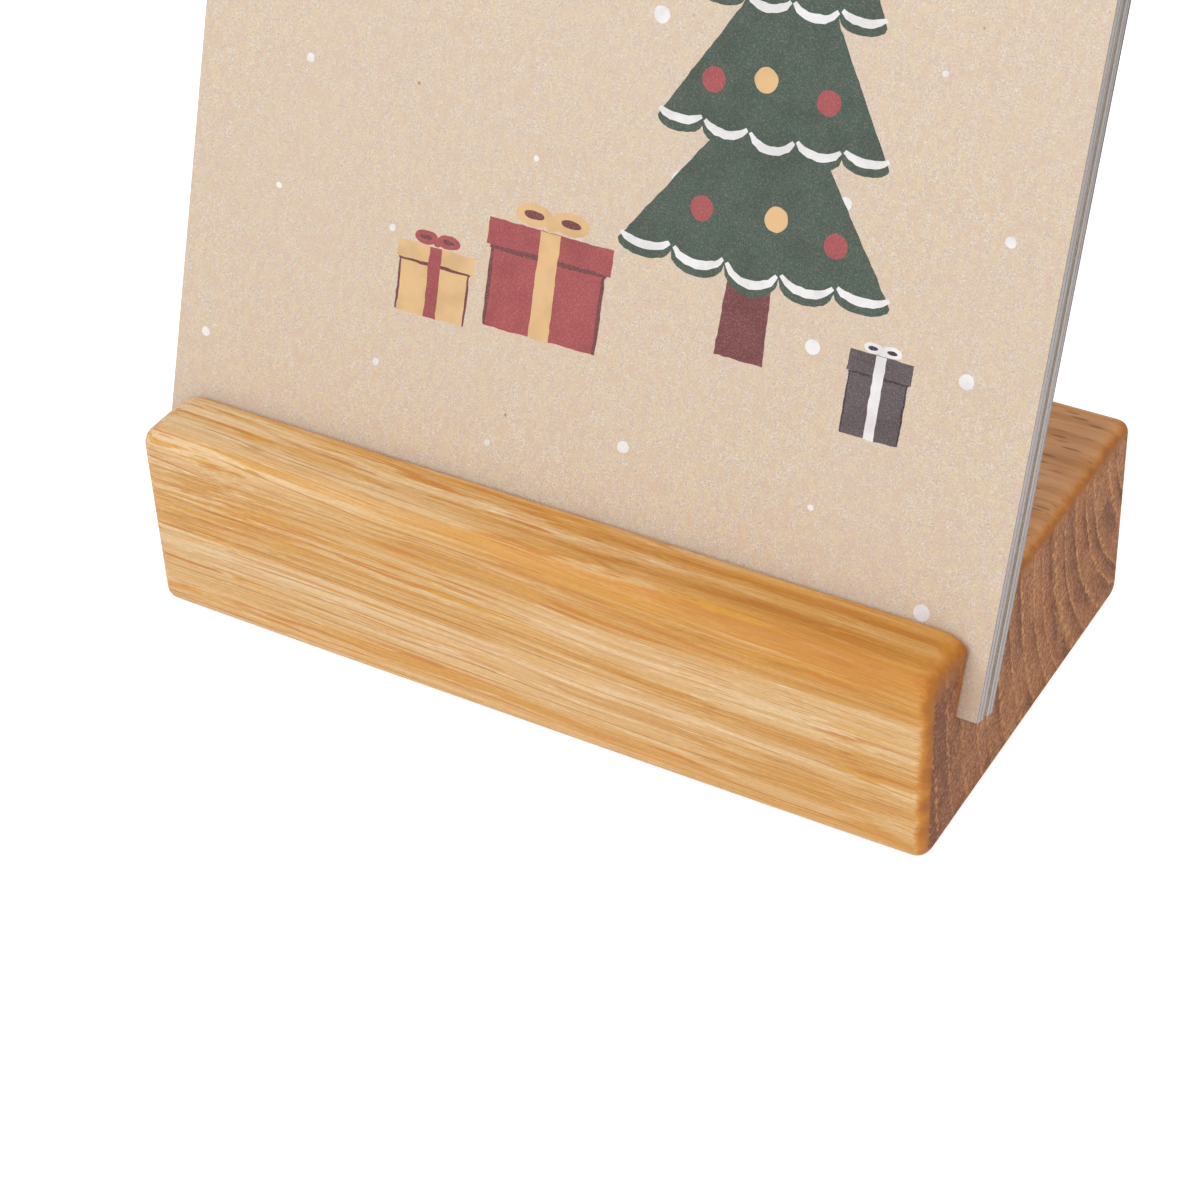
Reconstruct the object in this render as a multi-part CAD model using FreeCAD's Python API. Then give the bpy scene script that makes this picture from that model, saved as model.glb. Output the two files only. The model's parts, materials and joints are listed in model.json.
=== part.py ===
import FreeCAD, Part
import math
import os

# Photo block holder: an oak block with a slanted groove, and the four thick cards that stand in it.
# Millimetres. X runs along the block and its grain, Y from the front to the back, Z upwards.
# The origin is the middle of the block's underside, and the cards face the front, -Y.

# Oak block
BLOCK_LENGTH = 100.5
BLOCK_DEPTH = 54.0
BLOCK_HEIGHT = 25.0
EDGE_ROUND = 1.9

# Groove, leaning back and open at both ends of the block
LIP_THICKNESS = 10.2
GROOVE_DEPTH = 10.0
GROOVE_LEAN_DEGREES = 19.2
MOUTH_ROUND = 1.3
WALL_END_ROUND = 0.5
CUT_OVERRUN = 5.0

# Cards, A6 and upright, in two pairs from the front to the back
CARD_WIDTH = 105.0
CARD_HEIGHT = 148.0
CARD_THICKNESS = 0.85
FRONT_PAIR = ["front_card", "second_card"]
REAR_PAIR = ["third_card", "back_card"]

# How the cards stand: the pairs are apart at the foot, and the front one leans over to meet the rear
CARD_CLEARANCE = 0.05
WALL_CLEARANCE = 0.1
FLOOR_CLEARANCE = 0.05
PAIR_FOOT_GAP = 0.85
PAIR_HEAD_GAP = 0.2

# Places nearer than this are the same place
SAME_PLACE = 0.000001

# Worked out from the sizes above
CARD_PITCH = CARD_THICKNESS + CARD_CLEARANCE
FRONT_STACK = len(FRONT_PAIR) * CARD_PITCH - CARD_CLEARANCE
REAR_STACK = len(REAR_PAIR) * CARD_PITCH - CARD_CLEARANCE
REAR_PAIR_START = WALL_CLEARANCE + FRONT_STACK + PAIR_FOOT_GAP
GROOVE_WIDTH = REAR_PAIR_START + REAR_STACK + WALL_CLEARANCE
PAIR_CLOSING_DEGREES = math.degrees(math.asin((PAIR_FOOT_GAP - PAIR_HEAD_GAP) / CARD_HEIGHT))
FRONT_FACE_Y = -BLOCK_DEPTH / 2

X_AXIS = FreeCAD.Vector(1, 0, 0)


def groove_frame():
    """Frame at the foot of the groove's front wall: Y goes across the groove and Z up its slope."""
    lean_back = FreeCAD.Rotation(X_AXIS, -GROOVE_LEAN_DEGREES)
    up_the_slope = lean_back.multVec(FreeCAD.Vector(0, 0, GROOVE_DEPTH))
    mouth = FreeCAD.Vector(0, FRONT_FACE_Y + LIP_THICKNESS, BLOCK_HEIGHT)
    return FreeCAD.Placement(mouth - up_the_slope, lean_back)


def rounded_block():
    """The block before its groove: every edge rounded alike, so that each corner is a ball's."""
    corner = FreeCAD.Vector(-BLOCK_LENGTH / 2, FRONT_FACE_Y, 0)
    block = Part.makeBox(BLOCK_LENGTH, BLOCK_DEPTH, BLOCK_HEIGHT, corner)
    return block.makeFillet(EDGE_ROUND, block.Edges)


def groove_cutter():
    """A bar as wide as the groove that stands on its floor and runs out past the block."""
    length = BLOCK_LENGTH + 2 * CUT_OVERRUN
    height = GROOVE_DEPTH + GROOVE_WIDTH + CUT_OVERRUN
    bar = Part.makeBox(length, GROOVE_WIDTH, height, FreeCAD.Vector(-length / 2, 0, 0))
    bar.Placement = groove_frame()
    return bar


def same_place(one, other):
    return math.isclose(one, other, abs_tol=SAME_PLACE)


def edges_on_wall(block, wall_y):
    """Numbered edges of the block that bound one wall of the groove, apart from the one at its floor."""
    into_groove = groove_frame().inverse()
    found = {}
    for number, edge in enumerate(block.Edges, start=1):
        ends = [into_groove.multVec(vertex.Point) for vertex in edge.Vertexes]
        on_wall = all(same_place(end.y, wall_y) for end in ends)
        at_floor = all(same_place(end.z, 0) for end in ends)
        if on_wall and not at_floor:
            found[number] = edge
    return found


def eased_groove_edges(block):
    """Each edge where a groove wall comes out of the block, with the radii at its start and its finish.

    The long mouth edge is eased most and the upright edges at the wall's ends least.
    Where the mouth edge turns down over the rounded end of the block, the one radius grows into the other.
    """
    eased = []
    for wall_y in (0, GROOVE_WIDTH):
        edges = edges_on_wall(block, wall_y)
        mouth_number = max(edges, key=lambda number: edges[number].Length)
        mouth = edges.pop(mouth_number)
        mouth_start_x = mouth.valueAt(mouth.FirstParameter).x
        eased.append((mouth_number, MOUTH_ROUND, MOUTH_ROUND))
        for number, edge in edges.items():
            is_turn = not isinstance(edge.Curve, Part.Line)
            is_before_mouth = edge.CenterOfMass.x * mouth_start_x > 0
            start_round = MOUTH_ROUND if is_turn and not is_before_mouth else WALL_END_ROUND
            finish_round = MOUTH_ROUND if is_turn and is_before_mouth else WALL_END_ROUND
            eased.append((number, start_round, finish_round))
    return eased


def oak_block():
    """One piece of oak: rounded all over, grooved from end to end, and the groove's edges eased."""
    grooved = rounded_block().cut(groove_cutter())
    bench = FreeCAD.newDocument("bench")
    blank = bench.addObject("Part::Feature", "blank")
    blank.Shape = grooved
    eased = bench.addObject("Part::Fillet", "eased")
    eased.Base = blank
    eased.Edges = eased_groove_edges(grooved)
    bench.recompute()
    return eased.Shape.Solids[0]


def pair_of_cards(names, start_y, closing_degrees):
    """Cards of one pair by name, their foot start_y into the groove, leaning on by closing_degrees."""
    foot = FreeCAD.Placement(
        FreeCAD.Vector(0, start_y, FLOOR_CLEARANCE),
        FreeCAD.Rotation(X_AXIS, -closing_degrees),
    )
    cards = {}
    for place, name in enumerate(names):
        corner = FreeCAD.Vector(-CARD_WIDTH / 2, place * CARD_PITCH, 0)
        card = Part.makeBox(CARD_WIDTH, CARD_THICKNESS, CARD_HEIGHT, corner)
        card.Placement = groove_frame().multiply(foot)
        cards[name] = card
    return cards


def holder():
    """Every piece by its name."""
    pieces = {"oak_block": oak_block()}
    pieces.update(pair_of_cards(FRONT_PAIR, WALL_CLEARANCE, PAIR_CLOSING_DEGREES))
    pieces.update(pair_of_cards(REAR_PAIR, REAR_PAIR_START, 0))
    return pieces


os.makedirs("parts", exist_ok=True)
for name, piece in holder().items():
    piece.exportStep(os.path.join("parts", name + ".step"))
    print(f"{name}: volume {piece.Volume:.1f} mm3, valid {piece.isValid()}")
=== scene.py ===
import json
import math

import bmesh
import bpy
from mathutils import Euler, Matrix, Vector, noise
from mathutils.geometry import delaunay_2d_cdt


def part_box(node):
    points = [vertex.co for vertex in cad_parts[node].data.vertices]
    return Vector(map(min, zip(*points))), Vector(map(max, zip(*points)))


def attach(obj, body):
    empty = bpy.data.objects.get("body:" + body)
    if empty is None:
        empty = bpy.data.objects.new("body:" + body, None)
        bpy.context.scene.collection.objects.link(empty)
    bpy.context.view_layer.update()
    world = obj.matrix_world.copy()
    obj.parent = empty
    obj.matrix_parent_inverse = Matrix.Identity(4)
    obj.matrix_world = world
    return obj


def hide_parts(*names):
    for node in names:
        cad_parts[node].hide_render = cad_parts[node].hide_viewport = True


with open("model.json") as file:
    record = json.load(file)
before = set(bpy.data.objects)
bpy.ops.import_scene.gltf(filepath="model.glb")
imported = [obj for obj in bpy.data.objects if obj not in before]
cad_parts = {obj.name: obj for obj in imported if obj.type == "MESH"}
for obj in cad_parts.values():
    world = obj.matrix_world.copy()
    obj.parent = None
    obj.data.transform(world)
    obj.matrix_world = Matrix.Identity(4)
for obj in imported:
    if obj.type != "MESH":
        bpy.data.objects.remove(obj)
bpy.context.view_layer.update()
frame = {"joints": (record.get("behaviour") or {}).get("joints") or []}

# Photo block holder: an oiled oak block with a slanted groove, and four printed cards that lean back in it.
# Metres. X runs along the block, Y from the front to the back, Z upwards.

MM = 0.001

# Camera, as in the photograph, whose frame is square
PHOTO_WIDTH_PX = 1200
PHOTO_FOCAL_PX = 2959
CAMERA_SENSOR_MM = 36
CAMERA_PLACE = Vector((142.4, -240.0, 217.3)) * MM
CAMERA_AZIMUTH_DEGREES = 31.60
CAMERA_ELEVATION_DEGREES = 37.97
CAMERA_ROLL_DEGREES = -2.62
CAMERA_NEAR = 10 * MM
CAMERA_FAR = 20.0

# Studio: each lamp has its direction from the object in degrees, its distance, its width and its power
FLOOR_WIDTH = 8.0
FLOOR_WHITE = (0.80, 0.80, 0.80)
FLOOR_GLOW = 0.70
DOME_LIGHT = 0.35
DOME_WHITE = (0.96, 0.98, 1.0)
LAMP_AIM = Vector((0, 0, 40)) * MM
LAMPS = {
    "key_lamp": {"azimuth": -12, "elevation": 43, "distance": 0.9, "width": 0.70, "power": 5.3},
    "fill_lamp": {"azimuth": 62, "elevation": 34, "distance": 1.0, "width": 0.90, "power": 2.1},
    "rear_lamp": {"azimuth": 165, "elevation": 48, "distance": 1.0, "width": 0.70, "power": 2.4},
}

# Oak block: its outline comes from the frame, and its groove and its rounding are as they were cut
LIP_THICKNESS = 10.2 * MM
GROOVE_DEPTH = 10.0 * MM
GROOVE_WIDTH = 4.55 * MM
TOP_FRONT_ROUND = 1.9 * MM
FOOT_ROUND = 1.7 * MM
REAR_ROUND = 1.25 * MM
REAR_SANDED_OFF = 0.35 * MM
MOUTH_ROUND = 1.3 * MM
MOUTH_ROUND_AT_ENDS = 1.7 * MM
LIP_END_REACH = 3.3 * MM
LIP_END_DROP = 1.9 * MM
REAR_TOP_END_REACH = 2.0 * MM
REAR_TOP_END_DROP = 1.2 * MM
FRONT_END_ROUND = 1.8 * MM
FOOT_END_ROUND = 1.3 * MM
WALL_END_ROUND = 0.5 * MM
FLOOR_END_ROUND = 0.3 * MM
FLOOR_CORNER_ROUND = 0.1 * MM
FOOT_LIFT_AT_ENDS = 0.2 * MM
ARC_STEPS = 8
END_STEPS = 14
SURFACE_STEP = 1.5 * MM
CAP_BORDER = 0.4 * MM
SANDING_DEPTH = 0.09 * MM
SANDING_WAVE = 13.0 * MM
WORN_REACH = 1.6 * MM
END_ROUND_SHARE = 0.6
END_WEAR_SHARE = 0.4
FOOT_LIFT_POWER = 3
SHARP_EDGE_DEGREES = 35

# Numbers of the section's corners and faces, counted from the foot of the block's front
FLOOR_CORNERS = (4, 5)
GROOVE_FACES = (3, 4, 5)

# Growth rings round the tree's heart, which lies behind the block; the grain falls a little to the right
HEART_Y_MM = 45.0
HEART_Z_MM = 28.0
HEART_RISE_PER_MM = -0.001
GRAIN_FALL_SHARE = 0.024
GRAIN_FORWARD_SHARE = 0.012
RING_WIDTH_MM = 3.1
RING_START_MM = 1.2
ARC_RADIUS_MM = 45.0

# How far the fibres wander and ripple, how uneven the years are, and how close the veins lie
WANDER_REACH_MM = (0, 4.5, 4.5)
RIPPLE_REACH_MM = (0, 0.7, 0.7)
UNEVEN_YEARS_REACH_MM = 4.0
RING_JAG_REACH_MM = 1.30
VEINS_ACROSS_PER_MM = 0.50
VEINS_UP_PER_MM = 0.80
VEIN_BEND = 2.6

# Where the oak's colours change, from one place to the next: along it, up it, or from the heart
DEEPER_RIGHT_MM = (-20.0, 62.0)
PALER_LEFT_MM = (0.0, -45.0)
DEEPER_TOP_MM = (22.0, 25.0)
TOP_PORES_MM = (22.0, 24.5)
AMBER_SPREAD_MM = (-46.0, 30.0)
OLD_WOOD_MM = (59.0, 47.0)
BRIGHT_RINGS_MM = (62.0, 42.0)
DARKER_FRONT_MM = (54.0, 70.0)

# Oil and painted shade in and beside the groove: how far it strays, and where it begins and ends
GROOVE_DARK_STRAY_MM = 0.8
GROOVE_DARK_ENDS_MM = (3.7, 3.2)
GROOVE_DARK_SHARE = 0.90
SOAKED_DEPTH_MM = 1.2
SOAKED_LIP_DEPTH_MM = 1.6
SOAKED_STRAY_MM = 4.0
SOAKED_ENDS_MM = (1.6, -1.0)
BESIDE_STRAY_MM = 3.0
BESIDE_ENDS_MM = (3.4, 0.2)
BESIDE_DEPTH_MM = (10.5, 6.0)
SOAKED_SHARE = 0.80
LIP_FROM_WALL_MM = -2.0

# Height of the relief
PORE_RELIEF_MM = -0.05
GRAIN_RELIEF_MM = -0.015
GRIT_RELIEF_MM = 0.03
CLOUD_RELIEF_MM = 0.02

# Grain of the oak, along, across and up the block, or along, from and round the heart
WANDER_MM = (85.0, 40.0, 40.0)
RIPPLE_MM = (18.0, 6.0, 6.0)
UNEVEN_YEARS_MM = 5.0
RING_JAG_MM = (60.0, 0.8, 0.8)
BAND_MM = (120.0, 3.0, 3.6)
STREAK_MM = (75.0, 0.55, 0.55)
HAIR_MM = (26.0, 0.20, 0.20)
AMBER_CLUSTER_MM = (55.0, 1.9, 2.3)
AMBER_STREAK_MM = (24.0, 0.50, 0.50)
YELLOW_PART_MM = (16.0, 1.1, 1.1)
THREAD_MM = (60.0, 0.17, 0.17)
VEIN_BEND_MM = (90.0, 2.6, 2.6)
VEIN_PART_MM = (30.0, 1.3, 1.3)
FLECK_MM = (6.0, 0.22, 0.22)
FINE_GRAIN_MM = (0.7, 0.20, 0.20)
OLDER_PATCH_MM = (16.0, 1.6, 1.6)
LONG_PORE_MM = (4.4, 0.70, 0.70)
PORE_BEND_MM = (5.0, 1.4, 1.4)
END_CLOUD_MM = (20.0, 3.5, 12.0)
END_GRIT_MM = (0.5, 0.28, 0.34)
RAY_MM = (7.0, 7.0, 0.24)
BROKEN_RING_MM = (3.0, 0.8, 0.8)
PORE_CLUMP_MM = (2.0, 0.8, 0.8)
GROOVE_DARK_MM = (5.0, 1.2, 1.2)
EDGE_OIL_MM = (5.0, 2.0, 2.0)

# Grain of the paper and of the board behind it
KRAFT_GRIT_MM = 0.17
KRAFT_YELLOW_MM = (0.8, 0.8, 1.3)
KRAFT_PINK_MM = (0.9, 0.9, 1.6)
KRAFT_THREAD_MM = (1.5, 0.17, 0.17)
KRAFT_CLOUD_MM = 20.0
KRAFT_MOTE_MM = 7.0
INK_CLOUD_MM = 3.4
BOARD_GRIT_MM = 0.22
EDGE_LAYER_MM = (14.0, 0.7, 14.0)
BACK_CLOUD_MM = 2.6
BACK_FIBRE_MM = (2.4, 0.3, 0.3)
PINK_SHIFT_MM = (40.0, 0.0, 0.0)
BOARD_LAYERS = 6.0

# Heights between which the paper grows paler and painted shade darkens the edges
KRAFT_PALER_MM = (40.0, 150.0)
EDGE_SHADE_MM = (40.0, 110.0)
REAR_SHADE_MM = (15.0, 85.0)

# Printed cards
CARD_ARRIS = 0.07 * MM
NO_INK = (0.0, 0.0, 0.0, 0.0)
BOARD_INDEX = 1
FILL_INSIDE = 1
SAME_POINT_MM = 0.00001
LINE_STEP_MM = 0.7
LINE_SHAKE_MM = 0.12
LINE_SHAKE_WAVE_MM = 0.9
SNOW_SPACING_MM = 15.0
SNOW_LARGEST_MM = 1.05
SNOW_SMALLEST_SHARE = 0.3
SNOW_SIDES = 14
OVAL_DEGREES = (0, 345)
DOT_STEPS = 23
BOW_EYE_STEPS = 15
SCALLOP_STEPS = 8
LEAF_STEPS = 8
LEAF_TOOTH_SHARE = 0.30
LEAF_NOTCH_SHARE = 0.20
LEAF_TILT_DEGREES = 32
STROKE_TAPER_POWER = 0.5
STROKE_THINNEST_SHARE = 0.35
STAR_NOTCH_SHARE = 0.5

# Oak, as red, green and blue out of 255: its long faces, their streaks and pores
HONEY_PALE = (236, 204, 158)
HONEY_LIGHT = (227, 184, 128)
HONEY_WARM = (214, 158, 86)
HONEY_DEEP = (193, 126, 50)
AMBER_STREAK = (208, 132, 50)
YELLOW_STREAK = (222, 162, 66)
DARK_THREAD = (188, 120, 54)
DARK_VEIN = (184, 116, 50)
PALE_FLECK = (248, 229, 192)
LONG_PORE = (124, 76, 46)
OLDER_TINT = (246, 236, 234)
OLDER_LIGHT = (226, 172, 130)
OLDER_DARK = (186, 132, 92)
GROOVE_OIL_AND_SHADE = (130, 84, 48)

# Oak where it turns over the block's ends, and the ends themselves
AMBER_PALE = (226, 163, 82)
AMBER_LIGHT = (203, 131, 48)
AMBER_DARK = (178, 108, 38)
AMBER_DEEP = (166, 98, 40)
END_PALE = (214, 155, 110)
END_LIGHT = (197, 137, 94)
END_DARK = (174, 116, 78)
END_DEEP = (132, 82, 52)
END_RING = (228, 168, 106)
END_CLUMP = (108, 68, 44)
END_PORE = (98, 62, 42)
END_SPARK = (224, 180, 150)

# Kraft paper and worn ink
KRAFT_DARK = (187, 168, 147)
KRAFT_LIGHT = (235, 219, 203)
KRAFT_YELLOW = (221, 197, 156)
KRAFT_PINK = (211, 181, 162)
KRAFT_CLOUD = (214, 193, 176)
KRAFT_PALER_UP = (232, 222, 210)
KRAFT_THREAD = (236, 222, 204)
KRAFT_MOTE = (128, 102, 80)
INK_RUBBED = (206, 180, 164)
INK_CLOUD = (190, 186, 186)

# Board: its cut edges and its back
EDGE_DARK = (190, 184, 182)
EDGE_LIGHT = (219, 212, 209)
EDGE_SPECK = (160, 153, 151)
EDGE_PRINT_LINE_AND_SHADE = (126, 108, 101)
EDGE_SHADE_HIGH_UP = (150, 142, 138)
EDGE_REAR_SHADE = (92, 76, 70)
BACK_DARK = (226, 222, 214)
BACK_LIGHT = (240, 237, 230)
BACK_CLOUD = (228, 221, 210)
BACK_FIBRE = (214, 206, 194)

# Inks
RED_INK = (166, 82, 85)
PLUM_INK = (118, 68, 70)
GREEN_INK = (72, 89, 80)
OCHRE_INK = (226, 187, 136)
CHARCOAL_INK = (92, 84, 88)
COAL_INK = (62, 56, 60)
WHITE_INK = (238, 236, 236)

# Gifts: the inks of the paper, of the ribbon and of the shading
RED_GIFT = (RED_INK, OCHRE_INK, PLUM_INK)
OCHRE_GIFT = (OCHRE_INK, RED_INK, PLUM_INK)
GREEN_GIFT = (GREEN_INK, WHITE_INK, CHARCOAL_INK)
CHARCOAL_GIFT = (CHARCOAL_INK, WHITE_INK, COAL_INK)


# Colour and mesh helpers


def linear(red, green, blue):
    """Colour for the renderer from red, green and blue out of 255, as they look."""
    shares = [value / 255 for value in (red, green, blue)]
    return tuple(s / 12.92 if s <= 0.04045 else ((s + 0.055) / 1.055) ** 2.4 for s in shares) + (1.0,)


def joint_axis(name):
    joint = next(joint for joint in frame["joints"] if joint["name"] == name)
    return Vector(joint["axis"]).normalized()


def groove_lean():
    """Lean of the groove in radians: its rear cards slide straight up along its walls."""
    axis = joint_axis("back_card_lift")
    return math.atan2(axis.y, axis.z)


def smooth_share(value, start, finish):
    """0 before start and 1 after finish, with a smooth rise between them."""
    share = min(max((value - start) / (finish - start), 0), 1)
    return share * share * (3 - 2 * share)


def new_object(name, data):
    made = bpy.data.objects.new(name, data)
    bpy.context.scene.collection.objects.link(made)
    return made


def join_rings(bm, rings):
    """Faces from each ring of corners to the next."""
    faces = []
    for ring, following in zip(rings, rings[1:]):
        for place in range(len(ring)):
            onwards = (place + 1) % len(ring)
            faces.append(bm.faces.new((ring[place], ring[onwards], following[onwards], following[place])))
    return faces


def new_piece(name, mesh, body, nodes):
    """Object for a finished mesh that stands for CAD nodes and moves with their body."""
    piece = new_object(name, mesh)
    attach(piece, body)
    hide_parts(*nodes)
    return piece


# Materials


class Finish:
    """A material being put together: each call adds a node and gives back its output."""

    def __init__(self, name):
        self.material = bpy.data.materials.new(name)
        self.material.use_nodes = True
        self.tree = self.material.node_tree
        self.shader = self.tree.nodes["Principled BSDF"]
        self.coordinates = self.tree.nodes.new("ShaderNodeTexCoord")
        self.place_mm = self.scaled(self.coordinates.outputs["Object"], (1 / MM, 1 / MM, 1 / MM))

    def put(self, socket, value):
        if isinstance(value, bpy.types.NodeSocket):
            self.tree.links.new(value, socket)
        else:
            socket.default_value = value

    def math(self, operation, *values):
        node = self.tree.nodes.new("ShaderNodeMath")
        node.operation = operation
        for socket, value in zip(node.inputs, values):
            self.put(socket, value)
        return node.outputs["Value"]

    def sum_of(self, *parts):
        """Sum of several values, each given with its weight."""
        total = self.math("MULTIPLY", *parts[0])
        for value, weight in parts[1:]:
            total = self.math("MULTIPLY_ADD", value, weight, total)
        return total

    def vector(self, operation, *values):
        node = self.tree.nodes.new("ShaderNodeVectorMath")
        node.operation = operation
        for socket, value in zip(node.inputs, values):
            self.put(socket, value)
        return node.outputs["Vector"]

    def scaled(self, vector, shares):
        return self.vector("MULTIPLY", vector, shares)

    def split(self, vector):
        node = self.tree.nodes.new("ShaderNodeSeparateXYZ")
        self.put(node.inputs["Vector"], vector)
        return tuple(node.outputs)

    def joined(self, x, y, z):
        node = self.tree.nodes.new("ShaderNodeCombineXYZ")
        for socket, value in zip(node.inputs, (x, y, z)):
            self.put(socket, value)
        return node.outputs["Vector"]

    def in_grains(self, vector, size_mm):
        """The vector counted in grains of size_mm, one size for each axis or one for all."""
        sizes = size_mm if isinstance(size_mm, tuple) else (size_mm,) * 3
        return self.scaled(vector, tuple(1 / size for size in sizes))

    def noise(self, vector, size_mm, detail=2.0, roughness=0.5, output="Fac"):
        """Soft noise with grains of size_mm."""
        node = self.tree.nodes.new("ShaderNodeTexNoise")
        node.inputs["Scale"].default_value = 1.0
        node.inputs["Detail"].default_value = detail
        node.inputs["Roughness"].default_value = roughness
        self.put(node.inputs["Vector"], self.in_grains(vector, size_mm))
        return node.outputs[output]

    def cells(self, vector, size_mm):
        """Distance to the nearest of scattered points that lie about size_mm apart."""
        node = self.tree.nodes.new("ShaderNodeTexVoronoi")
        node.inputs["Scale"].default_value = 1.0
        self.put(node.inputs["Vector"], self.in_grains(vector, size_mm))
        return node.outputs["Distance"]

    def rise(self, value, start, finish, low=0.0, high=1.0):
        """Smooth rise from low to high as value goes from start to finish."""
        node = self.tree.nodes.new("ShaderNodeMapRange")
        node.interpolation_type = "SMOOTHSTEP"
        self.put(node.inputs["Value"], value)
        self.put(node.inputs["From Min"], start)
        self.put(node.inputs["From Max"], finish)
        self.put(node.inputs["To Min"], low)
        self.put(node.inputs["To Max"], high)
        return node.outputs["Result"]

    def patches(self, vector, size_mm, start, finish, detail=1.0, roughness=0.5):
        """Soft patches with grains of size_mm: 0 where their noise is under start and 1 over finish."""
        return self.rise(self.noise(vector, size_mm, detail, roughness), start, finish)

    def ramp(self, value, stops):
        """Shade by value. Each stop is its place and its shade, a grey or a colour out of 255."""
        node = self.tree.nodes.new("ShaderNodeValToRGB")
        node.color_ramp.interpolation = "EASE"
        elements = node.color_ramp.elements
        while len(elements) < len(stops):
            elements.new(0.5)
        for element, (place, shade) in zip(elements, stops):
            element.position = place
            element.color = linear(*shade) if isinstance(shade, tuple) else (shade, shade, shade, 1.0)
        self.put(node.inputs["Fac"], value)
        return node.outputs["Color"]

    def mix(self, share, first, second, how="MIX"):
        """The first colour with the second over it, as far as share says."""
        node = self.tree.nodes.new("ShaderNodeMix")
        node.data_type = "RGBA"
        node.blend_type = how
        self.put(node.inputs[0], share)
        for socket, colour in ((node.inputs[6], first), (node.inputs[7], second)):
            self.put(socket, linear(*colour) if isinstance(colour, tuple) else colour)
        return node.outputs[2]

    def attribute(self, name, output="Fac"):
        node = self.tree.nodes.new("ShaderNodeAttribute")
        node.attribute_name = name
        return node.outputs[output]

    def surface(self, colour, roughness, height_mm, specular):
        """Ends the material: its colour, its roughness, the height of its relief and its plain gloss."""
        relief = self.tree.nodes.new("ShaderNodeBump")
        relief.inputs["Strength"].default_value = 1.0
        relief.inputs["Distance"].default_value = MM
        self.put(relief.inputs["Height"], height_mm)
        self.put(self.shader.inputs["Base Color"], colour)
        self.put(self.shader.inputs["Roughness"], roughness)
        self.put(self.shader.inputs["Normal"], relief.outputs["Normal"])
        self.shader.inputs["Specular IOR Level"].default_value = specular
        return self.material


def place_in_tree(oak):
    """Place among the block's wandering fibres, and the same by its way along, from and round the heart."""
    wander = oak.noise(oak.place_mm, WANDER_MM, detail=1.0, output="Color")
    ripple = oak.noise(oak.place_mm, RIPPLE_MM, detail=1.0, output="Color")
    wander = oak.vector("SUBTRACT", wander, (0.5, 0.5, 0.5))
    ripple = oak.vector("SUBTRACT", ripple, (0.5, 0.5, 0.5))
    grown = oak.vector("ADD", oak.place_mm, oak.scaled(wander, WANDER_REACH_MM))
    grown = oak.vector("ADD", grown, oak.scaled(ripple, RIPPLE_REACH_MM))
    along, across, upwards = oak.split(grown)
    across = oak.math("MULTIPLY_ADD", along, GRAIN_FORWARD_SHARE, across)
    upwards = oak.math("MULTIPLY_ADD", along, GRAIN_FALL_SHARE, upwards)

    heart_front = oak.math("SUBTRACT", HEART_Y_MM, across)
    front_square = oak.math("POWER", heart_front, 2.0)
    heart_height = oak.math("MULTIPLY_ADD", front_square, HEART_RISE_PER_MM, HEART_Z_MM)
    heart_above = oak.math("SUBTRACT", upwards, heart_height)
    squares = oak.math("ADD", front_square, oak.math("POWER", heart_above, 2.0))
    radius = oak.math("SQRT", squares)
    arc = oak.math("MULTIPLY", oak.math("ARCTAN2", heart_above, heart_front), ARC_RADIUS_MM)
    return oak.joined(along, across, upwards), oak.joined(along, radius, arc)


def ring_share(oak, fibre, tree):
    """How far each point is through its year's growth, from 0 in the porous early wood to 1."""
    _, radius, _ = oak.split(tree)
    uneven = oak.noise(oak.joined(0.0, radius, 0.0), UNEVEN_YEARS_MM, detail=1.0)
    jagged = oak.noise(fibre, RING_JAG_MM, detail=2.0)
    age = oak.math("MULTIPLY_ADD", uneven, UNEVEN_YEARS_REACH_MM, oak.math("ADD", radius, RING_START_MM))
    age = oak.math("MULTIPLY_ADD", jagged, RING_JAG_REACH_MM, age)
    return oak.math("FRACT", oak.math("DIVIDE", age, RING_WIDTH_MM))


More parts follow.
